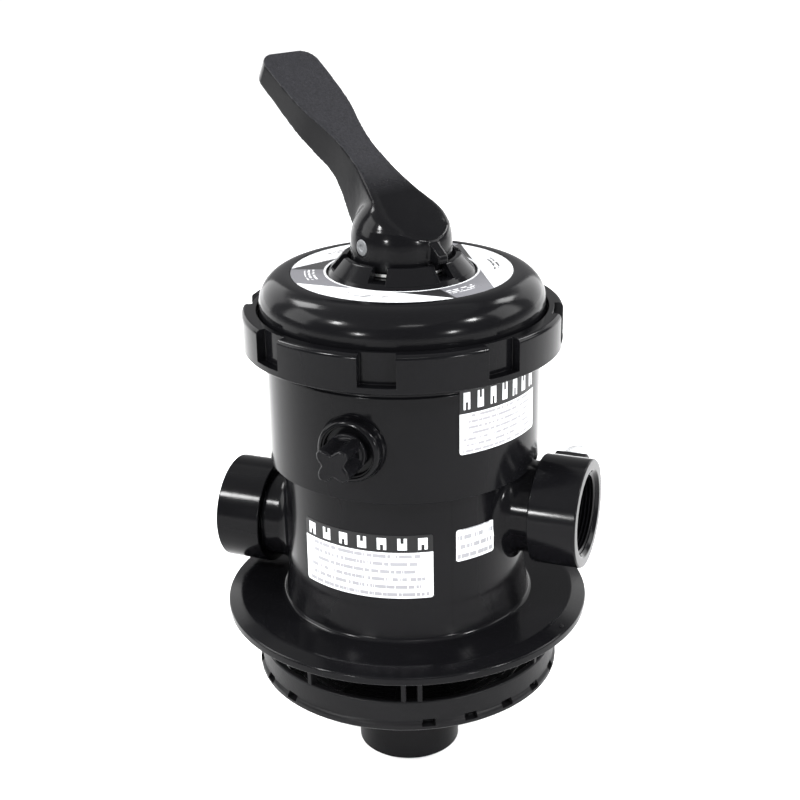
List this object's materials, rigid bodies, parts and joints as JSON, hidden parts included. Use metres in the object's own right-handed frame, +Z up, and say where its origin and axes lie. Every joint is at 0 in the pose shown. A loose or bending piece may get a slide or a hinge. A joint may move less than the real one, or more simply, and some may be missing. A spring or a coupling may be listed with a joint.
{
  "type": "multiport valve",
  "caption": "Round top-mount filter valve with threaded side ports, clamp flange, domed cover, ring nut, diffuser and a lever that lifts and turns the rotor inside.",
  "frame": {"origin": "centre of the clamp flange's underside, on the valve's axis, where the valve sits on the tank's neck", "axes": "+Z up along the stem; +X out of the waste port, -X out of the return port, +Y out of the pump port, -Y out of the drain plug"},
  "size_m": [0.23, 0.2264, 0.4232],
  "materials": {
    "gloss_black": "moulded gloss black ABS",
    "inner_black": "moulded satin black ABS",
    "plug_black": "moulded black ABS",
    "black_rubber": "moulded nitrile rubber",
    "steel": "turned stainless steel",
    "white_washer": "natural acetal",
    "clear_plastic": "clear moulded acrylic",
    "dial_print": "printed plastic foil in greys",
    "sticker_white": "printed white vinyl"
  },
  "bodies": {
    "housing": {"valve_body": "gloss_black", "port_plate": "inner_black", "diffuser": "inner_black", "tank_seal_ring": "black_rubber", "standpipe_o_ring": "black_rubber", "spider_gasket": "black_rubber", "cover": "gloss_black", "cover_o_ring": "black_rubber", "dial_label": "dial_print", "ring_nut": "gloss_black", "sight_glass": "clear_plastic", "sight_glass_nut": "plug_black", "sight_glass_o_ring": "black_rubber", "front_sticker": "sticker_white", "upper_sticker": "sticker_white", "serial_sticker": "sticker_white"},
    "selector": {"thrust_washer": "white_washer", "spring_top_washer": "steel"},
    "stem": {"rotor": "inner_black", "stem_o_ring_lower": "black_rubber", "stem_o_ring_upper": "black_rubber", "spring_seat_washer": "steel", "return_spring": "steel"},
    "lever": {"handle": "gloss_black", "handle_pin": "steel"},
    "plug_seal": {"plug_o_ring": "black_rubber"},
    "plug": {"drain_plug": "plug_black"}
  },
  "joints": [
    {"name": "selector_spin", "type": "hinge", "parent": "housing", "child": "selector", "pos_m": [0, 0, 0.214], "axis": [0, 0, 1], "continuous": true},
    {"name": "stem_lift", "type": "slide", "parent": "selector", "child": "stem", "axis": [0, 0, 1], "range_m": [0, 0.007], "stiffness_N_per_m": 250, "springref_m": -0.02, "deforming": ["return_spring"]},
    {"name": "handle_tilt", "type": "hinge", "parent": "stem", "child": "lever", "pos_m": [0, 0, 0.229], "axis": [-0.5, -0.866, 0], "range_deg": [0, 32]},
    {"name": "plug_travel", "type": "slide", "parent": "housing", "child": "plug_seal", "axis": [0, -1, 0], "range_m": [0, 0.00705]},
    {"name": "plug_turn", "type": "hinge", "parent": "plug_seal", "child": "plug", "pos_m": [0, -0.09, 0.131], "axis": [0, -1, 0], "range_deg": [0, 1800]}
  ],
  "couplings": [
    {"joint": "stem_lift", "follows": "handle_tilt", "m_per_rad": 0.01253},
    {"joint": "plug_turn", "follows": "plug_travel", "rad_per_m": 4456.1}
  ]
}
